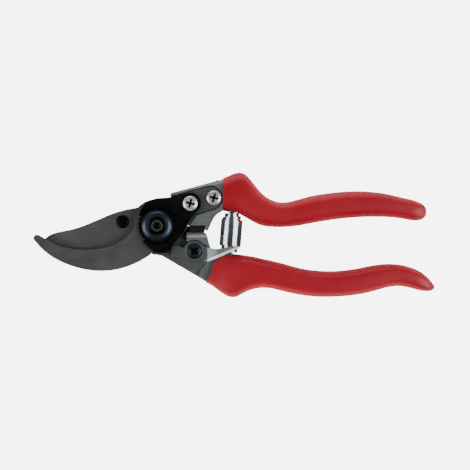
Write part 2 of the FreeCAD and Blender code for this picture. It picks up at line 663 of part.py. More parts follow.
# ---- rivet, screws, nuts and spring -------------------------------------------------------------
def blade_rivet():
    front = Z_BLADE + BLADE_THICK
    seat = RIVET_SEAT
    shank = RIVET_SHANK_R
    back = Z_HUB
    return turned([(0, back - 0.9), (shank, back - 0.9), (RIVET_R, back - 0.3), (RIVET_R, back),
                   (shank, back), (shank, seat), (RIVET_R, seat), (RIVET_R, front + 0.1),
                   (RIVET_R * 0.75, front + 0.5), (0, front + 0.7)], RIVET_AT)


def tang_nuts():
    nuts = []
    z0, z1 = HEAD_BACK - 0.4, HEAD_BACK + NUT_THICK - 0.4
    for at in (HOOK_SCREW_AT, SEGMENT_SCREW_AT):
        nut = hexagon(NUT_ACROSS, z0, z1, at).cut(disc(SCREW_DIA / 2 + 0.02, 0, 30, at))
        nuts.append(nut)
    return Part.makeCompound(nuts)


def volute_spring():
    """The volute as a barrel of strip, narrow at both ends, that steps out turn by turn."""
    foot, along, length = spring_axis()
    turns = 5
    end_r = SPRING_PIN_DIA / 2 + 0.25
    outer, inner = [], []
    for i in range(turns):
        share = math.sin(math.pi * (i + 0.5) / turns)
        radius = end_r + SPRING_STRIP + (SPRING_R - end_r - SPRING_STRIP) * share
        for y in (i, i + 1):
            outer.append((radius, 0.05 + (length - 0.1) * y / turns))
            inner.append((radius - SPRING_STRIP - 0.75, 0.05 + (length - 0.1) * y / turns))
    inner = [(max(r, end_r), z) for r, z in inner]
    solid = turned(outer + inner[::-1])
    turn = FreeCAD.Rotation(V(0, 0, 1), along)
    solid.Placement = FreeCAD.Placement(foot, turn)
    return solid


def main():
    os.makedirs("parts", exist_ok=True)
    save("hook_blade", hook_blade())
    save("cutting_blade", cutting_blade())
    save("pivot_bolt", pivot_bolt())
    save("pivot_nut", pivot_nut())
    save("locking_segment", locking_segment())
    save("thrust_washer", thrust_washer())
    save("pivot_bush", pivot_bush())
    save("tang_screw", pan_screw(HOOK_SCREW_AT, Z_SEGMENT, HEAD_BACK - 0.6, SCREW_DIA))
    save("segment_screw", pan_screw(SEGMENT_SCREW_AT, Z_SEGMENT + SEGMENT_THICK, HEAD_BACK - 0.6, SCREW_DIA))
    save("tang_nuts", tang_nuts())
    save("thumb_catch", thumb_catch())
    save("catch_screw", pan_screw(CATCH_SCREW_AT, CATCH_FRONT - 1.25, Z_HUB + 0.5, CATCH_SCREW_DIA))
    save("catch_washer", catch_washer())
    save("upper_handle", upper_handle())
    save("upper_grip", upper_grip())
    save("lower_handle", lower_handle())
    save("lower_grip", lower_grip())
    save("bumper", bumper())
    save("blade_rivet", blade_rivet())
    save("upper_spring_pin", spring_pin(0, *spring_seat(True)))
    save("lower_spring_pin", spring_pin(0, *spring_seat(False)))
    save("return_spring", volute_spring())


main()
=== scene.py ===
"""The looks of a bypass pruner, modelled round its CAD frame.

Everything is in metres, in the frame's own axes: X runs towards the handles, Y across them towards the
handle that carries the hook, and Z along the pivot towards the nut.
"""

import json
import logging
import math
from contextlib import contextmanager
from dataclasses import dataclass
from enum import Enum
from typing import Callable, Iterator, Sequence

import bmesh
import bpy
from mathutils import Matrix, Vector


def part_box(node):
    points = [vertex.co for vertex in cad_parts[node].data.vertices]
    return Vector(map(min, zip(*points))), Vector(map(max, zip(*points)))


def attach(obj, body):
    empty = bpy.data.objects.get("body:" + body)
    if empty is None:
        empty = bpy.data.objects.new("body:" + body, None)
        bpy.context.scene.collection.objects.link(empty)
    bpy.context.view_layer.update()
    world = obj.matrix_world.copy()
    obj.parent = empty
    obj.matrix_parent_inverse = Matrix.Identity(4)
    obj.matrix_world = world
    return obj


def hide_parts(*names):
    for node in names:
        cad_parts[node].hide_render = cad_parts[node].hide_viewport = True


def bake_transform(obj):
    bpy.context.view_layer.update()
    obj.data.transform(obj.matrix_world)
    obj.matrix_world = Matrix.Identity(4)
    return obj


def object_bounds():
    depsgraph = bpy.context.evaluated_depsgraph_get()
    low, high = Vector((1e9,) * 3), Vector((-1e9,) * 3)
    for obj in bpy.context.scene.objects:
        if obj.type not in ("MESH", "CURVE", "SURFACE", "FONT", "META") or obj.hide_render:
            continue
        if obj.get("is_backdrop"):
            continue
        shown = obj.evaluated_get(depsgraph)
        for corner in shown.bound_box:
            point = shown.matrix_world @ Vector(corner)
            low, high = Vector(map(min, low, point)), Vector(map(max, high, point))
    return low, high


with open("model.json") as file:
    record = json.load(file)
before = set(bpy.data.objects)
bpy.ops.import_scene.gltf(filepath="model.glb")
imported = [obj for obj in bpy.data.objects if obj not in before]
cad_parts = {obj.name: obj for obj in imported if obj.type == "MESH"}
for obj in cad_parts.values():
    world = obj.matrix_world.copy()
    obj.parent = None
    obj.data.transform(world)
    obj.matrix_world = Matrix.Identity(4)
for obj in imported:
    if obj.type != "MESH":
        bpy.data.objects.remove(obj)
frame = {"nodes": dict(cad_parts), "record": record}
log = logging.getLogger("pruner")

MM = 0.001
Point = tuple[float, float, float]
Colour = tuple[float, float, float]
ORIGIN: Point = (0.0, 0.0, 0.0)


class Body(Enum):
    """The rigid bodies of the frame."""

    LOWER = "lower"
    UPPER = "upper"
    CATCH = "catch"


# ---- shader graph -------------------------------------------------------------------------------
class Value:
    """A shader socket that Python arithmetic works on."""

    def __init__(self, graph: "Graph", socket: bpy.types.NodeSocket) -> None:
        """Wraps a socket.

        Args:
            graph: the material's graph, which adds the Math nodes.
            socket: the output to wrap.
        """
        self.graph = graph
        self.socket = socket

    def _maths(self, operation: str, a: "Value | float", b: "Value | float" = 0.0) -> "Value":
        """Adds one Math node and returns its result."""
        node = self.graph.node("ShaderNodeMath", {"operation": operation}, {0: a, 1: b})
        return Value(self.graph, node.outputs[0])

    def __add__(self, other: "Value | float") -> "Value":
        """This plus another value."""
        return self._maths("ADD", self, other)

    __radd__ = __add__

    def __mul__(self, other: "Value | float") -> "Value":
        """This times another value."""
        return self._maths("MULTIPLY", self, other)

    __rmul__ = __mul__

    def __sub__(self, other: "Value | float") -> "Value":
        """This less another value."""
        return self._maths("SUBTRACT", self, other)

    def __rsub__(self, other: "Value | float") -> "Value":
        """Another value less this."""
        return self._maths("SUBTRACT", other, self)

    def between(self, low: float, high: float, start: float = 0.0, end: float = 1.0) -> "Value":
        """A smooth step of this value.

        Args:
            low: the value that gives start.
            high: the value that gives end.
            start: the result at and below low.
            end: the result at and above high.

        Returns:
            The stepped value.
        """
        settings = {"interpolation_type": "SMOOTHSTEP"}
        sockets = {"Value": self, "From Min": low, "From Max": high, "To Min": start, "To Max": end}
        node = self.graph.node("ShaderNodeMapRange", settings, sockets)
        return Value(self.graph, node.outputs["Result"])


class Graph:
    """One material's nodes, with short ways to add them."""

    def __init__(self, name: str) -> None:
        """Starts a material with one Principled shader."""
        self.material = bpy.data.materials.new(name)
        self.material.use_nodes = True
        self.tree = self.material.node_tree
        self.shader = next(n for n in self.tree.nodes if n.type == "BSDF_PRINCIPLED")

    def node(self, kind: str, settings: dict | None = None, sockets: dict | None = None) -> bpy.types.Node:
        """Adds a node.

        Args:
            kind: the node's type.
            settings: its own properties, which are set first.
            sockets: a number, a colour or a Value for each input, by name or index.

        Returns:
            The node.
        """
        node = self.tree.nodes.new(kind)
        for key, value in (settings or {}).items():
            setattr(node, key, value)
        for key, value in (sockets or {}).items():
            self.feed(node.inputs[key], value)
        return node

    def feed(self, socket: bpy.types.NodeSocket, value: object) -> None:
        """Links a Value to an input, or sets the input to a constant."""
        if isinstance(value, Value):
            self.tree.links.new(value.socket, socket)
        else:
            socket.default_value = value

    def place(self, stretch: Point = (1.0, 1.0, 1.0), turn: float = 0.0, centre: Point = ORIGIN) -> Value:
        """Object coordinates, stretched and turned about Z.

        Args:
            stretch: the scale along each axis.
            turn: the angle about Z, in radians.
            centre: the point that becomes the origin.

        Returns:
            The coordinates.
        """
        source = self.node("ShaderNodeTexCoord").outputs["Object"]
        at = Value(self, source)
        shift = self.node("ShaderNodeVectorMath", {"operation": "SUBTRACT"}, {0: at, 1: centre})
        sockets = {"Vector": Value(self, shift.outputs[0]), "Rotation": (0.0, 0.0, turn), "Scale": stretch}
        node = self.node("ShaderNodeMapping", {"vector_type": "POINT"}, sockets)
        return Value(self, node.outputs[0])

    def noise(self, scale: float, detail: float = 3.0, rough: float = 0.55,
              at: Value | None = None) -> Value:
        """Fractal noise from 0 to 1, on object coordinates unless others are given."""
        sockets = {"Vector": at or self.place(), "Scale": scale, "Detail": detail, "Roughness": rough}
        return Value(self, self.node("ShaderNodeTexNoise", None, sockets).outputs[0])

    def cells(self, scale: float, at: Value | None = None) -> Value:
        """Distance to the nearest of many scattered points."""
        sockets = {"Vector": at or self.place(), "Scale": scale}
        return Value(self, self.node("ShaderNodeTexVoronoi", None, sockets).outputs["Distance"])

    def radius(self, centre: Point) -> Value:
        """Distance from an axis along Z."""
        flat = self.place((1.0, 1.0, 0.0), 0.0, centre)
        node = self.node("ShaderNodeVectorMath", {"operation": "LENGTH"}, {0: flat})
        return Value(self, node.outputs["Value"])

    def axes(self) -> tuple[Value, Value, Value]:
        """Object coordinates, one by one."""
        split = self.node("ShaderNodeSeparateXYZ", None, {0: self.place()})
        return tuple(Value(self, split.outputs[axis]) for axis in range(3))

    def height(self) -> Value:
        """Height above the frame's origin."""
        return self.axes()[2]

    def edge_highlight_mask(self) -> Value:
        """One on a flat piece's rounded edges, picked by how far the surface leans, and nothing elsewhere:
        the mask of a painted edge highlight.
        """
        normal = Value(self, self.node("ShaderNodeTexCoord").outputs["Normal"])
        rise = Value(self, self.node("ShaderNodeSeparateXYZ", None, {0: normal}).outputs[2])
        return rise.between(0.2, 0.4) * rise.between(0.8, 0.93, 1.0, 0.0)

    def rings(self, centre: Point, scale: float = 7000.0) -> Value:
        """Fine rings of uneven tone about an axis along Z."""
        stretched = self.node("ShaderNodeCombineXYZ", None, {0: self.radius(centre)})
        return self.noise(scale, 2.0, 0.5, Value(self, stretched.outputs[0]))

    def mix(self, factor: Value, a: Sequence[float] | Value, b: Sequence[float] | Value) -> Value:
        """A colour between two colours."""
        node = self.node("ShaderNodeMix", {"data_type": "RGBA"})
        self.feed(node.inputs[0], factor)
        for index, colour in ((6, a), (7, b)):
            self.feed(node.inputs[index], colour if isinstance(colour, Value) else (*colour, 1.0))
        return Value(self, node.outputs[2])

    def bump(self, height: Value, depth: float, strength: float = 1.0) -> None:
        """Raises the surface by a height, in metres at full height."""
        sockets = {"Height": height, "Distance": depth, "Strength": strength}
        node = self.node("ShaderNodeBump", None, sockets)
        self.feed(self.shader.inputs["Normal"], Value(self, node.outputs[0]))

    def dress(self, **sockets: object) -> bpy.types.Material:
        """Sets the shader's inputs and gives the material.

        Args:
            sockets: a value for each input, with underscores for the spaces in its name.

        Returns:
            The material.
        """
        for key, value in sockets.items():
            if isinstance(value, tuple):
                value = (*value, 1.0)
            self.feed(self.shader.inputs[key.replace("_", " ")], value)
        return self.material


# ---- finishes -----------------------------------------------------------------------------------
@dataclass(frozen=True)
class Finish:
    """A surface finish: the record's slot that it stands for, and how light it is beside that slot."""

    slot: str
    tone: float = 1.0

    @property
    def colour(self) -> Colour:
        """The main colour: the slot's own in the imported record, times the tone."""
        found = next(m for m in frame["record"]["materials"] if m["slot"] == self.slot)
        return tuple(c * self.tone for c in found["base_color"][:3])

    def shade(self, factor: float) -> Colour:
        """The main colour, made lighter or darker."""
        return tuple(c * factor for c in self.colour)

    def mottled(self, graph: Graph, tone: Value, low: float, high: float) -> Value:
        """The main colour, varied between two shades by a tone."""
        return graph.mix(tone, self.shade(low), self.shade(high))

    def material(self) -> bpy.types.Material:
        """Builds the material."""
        raise NotImplementedError


@dataclass(frozen=True)
class CoatedSteel(Finish):
    """Blade steel under a thin matt coating, with faint drawn streaks and a painted highlight on its
    rounded edges.
    """

    turn: float = 0.0

    def material(self) -> bpy.types.Material:
        """Builds the material."""
        g = Graph(f"{self.slot}_coat")
        streak = g.noise(60.0, 6.0, 0.65, g.place((1.0, 26.0, 1.0), self.turn))
        cloud = g.noise(55.0, 3.0)
        grain = g.noise(2600.0, 2.0)
        tone = streak.between(0.3, 0.72) * 0.55 + cloud.between(0.25, 0.75) * 0.3 + grain * 0.15
        plain = self.mottled(g, tone, 0.8, 1.4)
        # Painted highlight: the rounded edges are lightened, picked by how their surface leans.
        painted_highlight = g.edge_highlight_mask() * streak.between(0.3, 0.6, 0.3, 0.9)
        g.bump(streak * 0.6 + grain * 0.4, 0.00003, 0.6)
        return g.dress(Base_Color=g.mix(painted_highlight, plain, self.shade(3.4)), Metallic=0.6,
                       Roughness=cloud.between(0.2, 0.8, 0.38, 0.5))


@dataclass(frozen=True)
class ForgedAluminium(Finish):
    """Blasted forged alloy: a fine even grain with soft clouding, and a painted highlight on its rounded
    edges.
    """

    def forged(self, g: Graph, grain: Value) -> Value:
        """The alloy's colour on a graph, with the grain given."""
        cloud = g.noise(90.0, 3.0)
        tone = grain.between(0.3, 0.7) * 0.6 + cloud.between(0.3, 0.7) * 0.4
        # Painted highlight: the rounded edges are lightened, picked by how their surface leans.
        painted_highlight = g.edge_highlight_mask() * cloud.between(0.35, 0.65, 0.3, 0.9)
        return g.mix(painted_highlight, self.mottled(g, tone, 0.72, 1.28), self.shade(2.2))

    def material(self) -> bpy.types.Material:
        """Builds the material."""
        g = Graph(f"{self.slot}_grain")
        grain = g.noise(1500.0, 4.0, 0.7)
        pits = g.cells(900.0).between(0.12, 0.3)
        g.bump(grain * 0.7 + pits * 0.3, 0.00008, 0.8)
        return g.dress(Base_Color=self.forged(g, grain), Metallic=0.7,
                       Roughness=grain.between(0.2, 0.8, 0.46, 0.62))


@dataclass(frozen=True)
class ForgedWithLedge(ForgedAluminium):
    """Forged alloy with one bevelled ledge between two corners, painted bright as a highlight."""

    low: Point = (14 * MM, -6.1 * MM, 11 * MM)
    high: Point = (26 * MM, -3.0 * MM, 17 * MM)
    blend: float = 0.2 * MM

    def ledge(self, g: Graph) -> Value:
        """One inside the two corners, and nothing outside."""
        inside = 1.0
        for at, low, high in zip(g.axes(), self.low, self.high):
            above = at.between(low, low + self.blend)
            below = at.between(high - self.blend, high, 1.0, 0.0)
            inside = above * below * inside
        return inside

    def material(self) -> bpy.types.Material:
        """Builds the material."""
        g = Graph(f"{self.slot}_ledge")
        grain = g.noise(1500.0, 4.0, 0.7)
        ledge = self.ledge(g)
        g.bump(grain, 0.00008, 0.8)
        # Painted highlight: the ledge's colour is lightened where its bevel catches the light.
        return g.dress(Base_Color=g.mix(ledge, self.forged(g, grain), self.shade(2.9)), Metallic=0.7,
                       Roughness=grain.between(0.2, 0.8, 0.46, 0.62) - ledge * 0.12)


@dataclass(frozen=True)
class DippedVinyl(Finish):
    """A thick dipped coat: smooth, slightly waxy, with a soft skin texture."""

    def material(self) -> bpy.types.Material:
        """Builds the material."""
        g = Graph(f"{self.slot}_dip")
        skin = g.noise(420.0, 3.0, 0.5)
        pore = g.noise(2400.0, 2.0)
        cloud = g.noise(38.0, 4.0)
        tone = cloud.between(0.25, 0.75) * 0.7 + skin * 0.3
        g.bump(skin * 0.75 + pore * 0.25, 0.00006, 0.7)
        return g.dress(Base_Color=self.mottled(g, tone, 0.86, 1.14), Metallic=0.0,
                       Roughness=(cloud * 0.5 + pore * 0.5).between(0.25, 0.75, 0.34, 0.46),
                       Coat_Weight=0.05, Coat_Roughness=0.3, Specular_IOR_Level=0.3)


@dataclass(frozen=True)
class TurnedSteel(Finish):
    """Steel from the lathe: fine rings about its own axis under a polish."""

    centre: Point = ORIGIN
    polish: float = 0.16

    def material(self) -> bpy.types.Material:
        """Builds the material."""
        g = Graph(f"{self.slot}_turned_{round(self.centre[0] / MM)}")
        rings = g.rings(self.centre)
        cloud = g.noise(160.0, 3.0)
        tone = rings * 0.5 + cloud * 0.5
        g.bump(rings, 0.00001, 0.6)
        return g.dress(Base_Color=self.mottled(g, tone, 0.7, 1.3), Metallic=1.0,
                       Roughness=tone.between(0.2, 0.8, self.polish, self.polish + 0.12))


@dataclass(frozen=True)
class ScrewSteel(TurnedSteel):
    """Turned steel with painted shade, near black, in the driver recess in its middle."""

    crown: float = 0.0
    mouth: float = 2.3 * MM
    metallic: float = 0.6

    def material(self) -> bpy.types.Material:
        """Builds the material."""
        g = Graph(f"{self.slot}_screw_{round(self.centre[0] / MM)}")
        rings = g.rings(self.centre)
        scuffs = g.noise(420.0, 4.0, 0.7)
        tone = rings * 0.35 + scuffs * 0.65
        inside = g.radius(self.centre).between(self.mouth, self.mouth + 0.15 * MM, 1.0, 0.0)
        # Painted shade: the recess below the crown is coloured near black.
        painted_recess_shade = (self.crown - g.height()).between(0.24 * MM, 0.34 * MM) * inside
        unshaded = self.mottled(g, tone.between(0.25, 0.75), 0.6, 1.35)
        g.bump(rings * 0.5 + scuffs * 0.5, 0.00002, 0.6)
        return g.dress(Base_Color=g.mix(painted_recess_shade, unshaded, (0.004, 0.004, 0.004)),
                       Metallic=painted_recess_shade.between(0.0, 0.6, self.metallic, 1.0),
                       Roughness=tone.between(0.2, 0.8, self.polish, self.polish + 0.14) + painted_recess_shade * 0.4)


@dataclass(frozen=True)
class BoltSteel(TurnedSteel):
    """The pivot bolt: bright, with painted shade round the thread's end and in the turning centre, and a
    painted highlight on a ring of its end face.
    """

    hole: float = 1.0 * MM
    ring: float = 2.75 * MM
    dark_above: float = 15.0 * MM

    def material(self) -> bpy.types.Material:
        """Builds the material."""
        g = Graph(f"{self.slot}_bolt")
        rings = g.rings(self.centre)
        scuffs = g.noise(700.0, 4.0, 0.7)
        tone = rings * 0.5 + scuffs * 0.5
        radius = g.radius(self.centre)
        # Painted shade: the centre hole and the ring round the thread's end are coloured near black.
        hole = radius.between(self.hole, self.hole + 0.3 * MM, 1.0, 0.0)
        thread = radius.between(self.ring, self.ring + 0.25 * MM)
        front = g.height().between(self.dark_above, self.dark_above + 0.5 * MM)
        painted_shade = (hole + thread) * front
        # Painted highlight: a lighter ring on the end face, darker inside it.
        painted_highlight = radius.between(self.ring - 0.9 * MM, self.ring - 0.4 * MM)
        ends = self.mottled(g, painted_highlight * tone.between(0.2, 0.8, 0.5, 1.0), 0.05, 0.42)
        plain = self.mottled(g, tone.between(0.25, 0.75), 0.6, 1.3)
        g.bump(tone, 0.00002, 0.6)
        return g.dress(Base_Color=g.mix(painted_shade, g.mix(front, plain, ends), (0.006, 0.007, 0.007)),
                       Metallic=1.0, Roughness=tone.between(0.2, 0.8, 0.24, 0.4) + painted_shade * 0.2)


@dataclass(frozen=True)
class BluedDome(TurnedSteel):
    """Polished blue-black steel with heat tints, with painted shade at the rim and round the bore."""

    rim: float = 8.2 * MM
    bore: float = 4.9 * MM

    def material(self) -> bpy.types.Material:
        """Builds the material."""
        g = Graph(f"{self.slot}_dome")
        rings = g.rings(self.centre)
        tint = g.noise(150.0, 4.0, 0.6)
        radius = g.radius(self.centre)
        # Painted shade: the rim and the ring round the bore are darkened almost to black.
        edge = radius.between(self.rim, self.rim + 0.5 * MM)
        well = radius.between(self.bore - 0.4 * MM, self.bore + 0.4 * MM, 1.0, 0.0)
        red, green, blue = self.colour
        violet = (red * 2.4, green * 1.5, blue * 1.6)
        dome = g.mix(tint.between(0.5, 0.72), self.mottled(g, rings, 1.3, 2.2), violet)
        sheen = rings * 0.4 + tint * 0.6
        g.bump(rings * 0.6 + tint * 0.4, 0.00001, 0.6)
        return g.dress(Base_Color=g.mix(edge + well * 0.85, dome, self.shade(0.12)), Metallic=0.95,
                       Roughness=sheen.between(0.2, 0.8, self.polish, self.polish + 0.12))


@dataclass(frozen=True)
class GlossBlack(Finish):
    """Stoved black paint: deep and shiny, with dust and faint handling marks."""

    def material(self) -> bpy.types.Material:
        """Builds the material."""
        g = Graph(f"{self.slot}_gloss")
        dust = g.noise(1900.0, 2.0)
        marks = g.noise(60.0, 4.0, 0.6, g.place((1.0, 2.0, 1.0), 0.6))
        g.bump(dust, 0.00002, 0.5)
        return g.dress(Base_Color=self.mottled(g, marks.between(0.35, 0.75), 0.3, 0.9),
                       Metallic=0.0, Roughness=marks.between(0.3, 0.8, 0.3, 0.42), Specular_IOR_Level=0.08)


@dataclass(frozen=True)
class BrushedSteel(Finish):
    """Pressed steel, brushed along its length."""

    turn: float = 0.0
    rough: float = 0.3

    def material(self) -> bpy.types.Material:
        """Builds the material."""
        g = Graph(f"{self.slot}_brushed")
        lines = g.noise(130.0, 5.0, 0.7, g.place((1.0, 30.0, 30.0), self.turn))
        cloud = g.noise(110.0, 3.0)
        tone = lines * 0.6 + cloud * 0.4
        g.bump(lines, 0.00002, 0.6)
        return g.dress(Base_Color=self.mottled(g, tone.between(0.25, 0.75), 0.68, 1.35),
                       Metallic=0.9, Roughness=tone.between(0.25, 0.75, self.rough, self.rough + 0.14))


@dataclass(frozen=True)
class PolishedStrip(Finish):
    """Cold-rolled strip, polished bright, with faint rolling lines and a few darker smears."""

    def material(self) -> bpy.types.Material:
        """Builds the material."""
        g = Graph(f"{self.slot}_strip")
        lines = g.noise(240.0, 3.0, 0.6, g.place((1.0, 12.0, 1.0)))
        smear = g.noise(90.0, 4.0, 0.6)
        tone = lines * 0.4 + smear * 0.6
        g.bump(lines, 0.000004, 0.5)
        return g.dress(Base_Color=self.mottled(g, tone.between(0.35, 0.7), 0.85, 1.3),
                       Metallic=1.0, Roughness=smear.between(0.3, 0.7, 0.12, 0.2))


@dataclass(frozen=True)
class CatchSteel(BrushedSteel):
    """The catch: brushed, with painted highlights on its thumb piece, its lower edge, its screw's rim and
    its rounded edges.
    """

    well: Point = ORIGIN
    tail_from: float = 25 * MM
    tail_to: float = 32 * MM
    edge_slope: float = 0.43
    edge_drop: float = 29.95 * MM

    def material(self) -> bpy.types.Material:
        """Builds the material."""
        g = Graph(f"{self.slot}_catch")
        lines = g.noise(150.0, 5.0, 0.7, g.place((1.0, 26.0, 26.0), self.turn))
        cloud = g.noise(120.0, 3.0)
        along, across, _ = g.axes()
        # Painted highlight: the thumb piece is lightened.
        tail = (along + cloud * 0.004).between(self.tail_from, self.tail_to)
        from_edge = across - along * self.edge_slope + self.edge_drop
        # Painted highlight: a near-white line along the lower edge.
        edge = from_edge.between(0.9 * MM, 1.5 * MM, 1.0, 0.0) * tail
        radius = g.radius(self.well)
        # Painted highlight: a light ring round the screw's well.
        rim = radius.between(4.1 * MM, 4.25 * MM) * radius.between(4.6 * MM, 4.9 * MM, 1.0, 0.0)
        tone = lines * 0.6 + cloud * 0.4
        plain = self.mottled(g, tone.between(0.25, 0.75), 0.7, 1.3)
        bright = self.mottled(g, tone.between(0.25, 0.75), 1.0, 1.5)
        # Painted highlight: the rounded edges are lightened, picked by how their surface leans.
        painted_highlight = g.edge_highlight_mask() * cloud.between(0.35, 0.65, 0.5, 1.0)
        body = g.mix(painted_highlight, g.mix(tail + rim * 0.8, plain, bright), self.shade(2.2))
        g.bump(lines, 0.00002, 0.6)
        return g.dress(Base_Color=g.mix(edge, body, (0.85, 0.87, 0.88)), Metallic=0.9 - tail * 0.3,
                       Roughness=self.rough + 0.16 + tail * 0.14)


@dataclass(frozen=True)
class Rubber(Finish):
    """Moulded rubber: dead matt, with a fine bloom."""

    def material(self) -> bpy.types.Material:
        """Builds the material."""
        g = Graph(f"{self.slot}_rubber")
        bloom = g.noise(300.0, 4.0)
        grain = g.noise(3000.0, 2.0)
        g.bump(grain, 0.00004, 0.7)
        return g.dress(Base_Color=self.mottled(g, bloom.between(0.3, 0.8), 0.7, 1.9),
                       Metallic=0.0, Roughness=grain.between(0.2, 0.8, 0.7, 0.86), Specular_IOR_Level=0.15)


# ---- modelling ----------------------------------------------------------------------------------
def select_only(*objects: bpy.types.Object) -> None:
    """Selects these objects and makes the first one active."""
    bpy.ops.object.select_all(action="DESELECT")
    for item in objects:
        item.select_set(True)
    if objects:
        bpy.context.view_layer.objects.active = objects[0]


class Workpiece:
    """One mesh on the bench, with the operators that shape it."""

    def __init__(self, name: str) -> None:
        """Takes the active object and names it."""
        self.obj = bpy.context.view_layer.objects.active
        self.obj.name = name
        self.obj.data.name = name

    @classmethod
    def disc(cls, name: str, radius: float, at: Point, sides: int = 96, fill: str = "NGON") -> "Workpiece":
        """Starts from a flat disc, or a bare ring.

        Args:
            name: the piece's name.
            radius: the disc's radius.
            at: its centre.
            sides: how many corners it has.
            fill: NGON for a disc, NOTHING for a ring.

        Returns:
            The workpiece.
        """
        select_only()
        bpy.ops.mesh.primitive_circle_add(vertices=sides, radius=radius, fill_type=fill, location=at)
        piece = cls(name)
        bpy.ops.object.transform_apply(location=True, rotation=True, scale=True)
        return piece

    @classmethod
    def block(cls, name: str, low: Point, high: Point) -> "Workpiece":
        """Starts from a block between two corners."""
        select_only()
        centre = (Vector(low) + Vector(high)) / 2
        bpy.ops.mesh.primitive_cube_add(size=1.0, location=centre)
        piece = cls(name)
        piece.obj.scale = Vector(high) - Vector(low)
        bpy.ops.object.transform_apply(location=True, rotation=True, scale=True)
        return piece

    @classmethod
    def above(cls, at: Vector, radius: float, height: float) -> "Workpiece":
        """A cutter for all that stands above a height, well past a radius round a point."""
        wide = 2 * radius
        low = (at.x - wide, at.y - wide, height)
        return cls.block("trim", low, (at.x + wide, at.y + wide, height + 10 * MM))

    @classmethod
    def from_node(cls, name: str, node: str) -> "Workpiece":
        """Starts from a copy of a CAD node, with its loose triangles merged into whole faces.

        Args:
            name: the piece's name.
            node: the CAD node.

        Returns:
            The workpiece.
        """
        select_only(frame["nodes"][node])
        bpy.ops.object.duplicate()
        piece = cls(name)
        piece.obj.parent = None
        for key in list(piece.obj.keys()):
            del piece.obj[key]
        piece.obj.data.materials.clear()
        with piece.edit("VERT"):
            bpy.ops.mesh.select_all(action="SELECT")
            bpy.ops.mesh.remove_doubles(threshold=0.002 * MM)
            bpy.ops.mesh.dissolve_limited(angle_limit=math.radians(0.3))
            bpy.ops.mesh.select_all(action="SELECT")
            bpy.ops.mesh.normals_make_consistent(inside=False)
        return piece

    @contextmanager
    def edit(self, kind: str = "FACE") -> Iterator[None]:
        """Edit mode, with vertices, edges or faces to pick."""
        select_only(self.obj)
        bpy.ops.object.mode_set(mode="EDIT")
        bpy.ops.mesh.select_mode(type=kind)
        yield
        bpy.ops.object.mode_set(mode="OBJECT")

    def pick_faces(self, test: Callable[[bmesh.types.BMFace], bool]) -> int:
        """Selects, in edit mode, just the faces that pass a test, and counts them."""
        mesh = bmesh.from_edit_mesh(self.obj.data)
        for item in (*mesh.faces, *mesh.edges, *mesh.verts):
            item.select = False
        chosen = [face for face in mesh.faces if test(face)]
        for face in chosen:
            face.select_set(True)
        bmesh.update_edit_mesh(self.obj.data)
        return len(chosen)

    def draw_up(self, centre: Point, steps: Sequence[tuple[float, float]], start: float) -> None:
        """Extrudes what is selected through a turned profile.

        Args:
            centre: a point on the vertical axis, at the height of what is selected.
            steps: the radius and height of each ring in turn.
            start: the radius of the ring that is selected.
        """
        radius, height = start, centre[2]
        for next_radius, next_height in steps:
            rise = {"value": (0.0, 0.0, next_height - height)}
            bpy.ops.mesh.extrude_region_move(TRANSFORM_OT_translate=rise)
            share = next_radius / radius
            middle = (centre[0], centre[1], next_height)
            bpy.ops.transform.resize(value=(share, share, 1.0), center_override=middle)
            radius, height = next_radius, next_height

    def apply(self, kind: str, **settings: object) -> "Workpiece":
        """Adds a modifier with these settings and applies it."""
        select_only(self.obj)
        modifier = self.obj.modifiers.new(kind.lower(), kind)
        for key, value in settings.items():
            setattr(modifier, key, value)
        bpy.ops.object.modifier_apply(modifier=modifier.name)
        return self

    def cut(self, cutter: "Workpiece") -> "Workpiece":
        """Cuts another workpiece's shape out of this one and throws the cutter away."""
        self.apply("BOOLEAN", operation="DIFFERENCE", solver="EXACT", object=cutter.obj)
        bpy.data.objects.remove(cutter.obj)
        return self

    def round_edges(self, width: float, segments: int = 2, angle: float = 32.0) -> "Workpiece":
        """Rounds every edge that is sharper than an angle in degrees."""
        return self.apply("BEVEL", width=width, segments=segments, limit_method="ANGLE",
                          angle_limit=math.radians(angle), use_clamp_overlap=True, miter_outer="MITER_ARC")

    def smooth(self, angle: float = 38.0) -> "Workpiece":
        """Shades it smooth, except across edges sharper than an angle in degrees."""
        select_only(self.obj)
        bpy.ops.object.shade_smooth_by_angle(angle=math.radians(angle))
        return self.apply("WEIGHTED_NORMAL", mode="FACE_AREA", weight=100, keep_sharp=True)

    def mend(self) -> "Workpiece":
        """Merges doubled corners and turns every face outwards."""
        with self.edit("VERT"):
            bpy.ops.mesh.select_all(action="SELECT")
            bpy.ops.mesh.remove_doubles(threshold=0.002 * MM)
            bpy.ops.mesh.normals_make_consistent(inside=False)
        return self

    def fit(self, finish: Finish, body: Body, *nodes: str) -> bpy.types.Object:
        """Dresses the piece and fixes it to its body in place of its CAD nodes.

        Args:
            finish: its surface finish.
            body: the rigid body that it rides on.
            nodes: the CAD nodes that it stands for.

        Returns:
            The finished object.
        """
        self.obj.data.materials.clear()
        self.obj.data.materials.append(finish.material())
        if nodes:
            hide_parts(*nodes)
        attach(self.obj, body.value)
        log.info("%s: %d faces, rides on %s", self.obj.name, len(self.obj.data.polygons), body.value)
        return self.obj


def middle(node: str) -> Vector:
    """The middle of a CAD node's box."""
    low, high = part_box(node)
    return (low + high) / 2


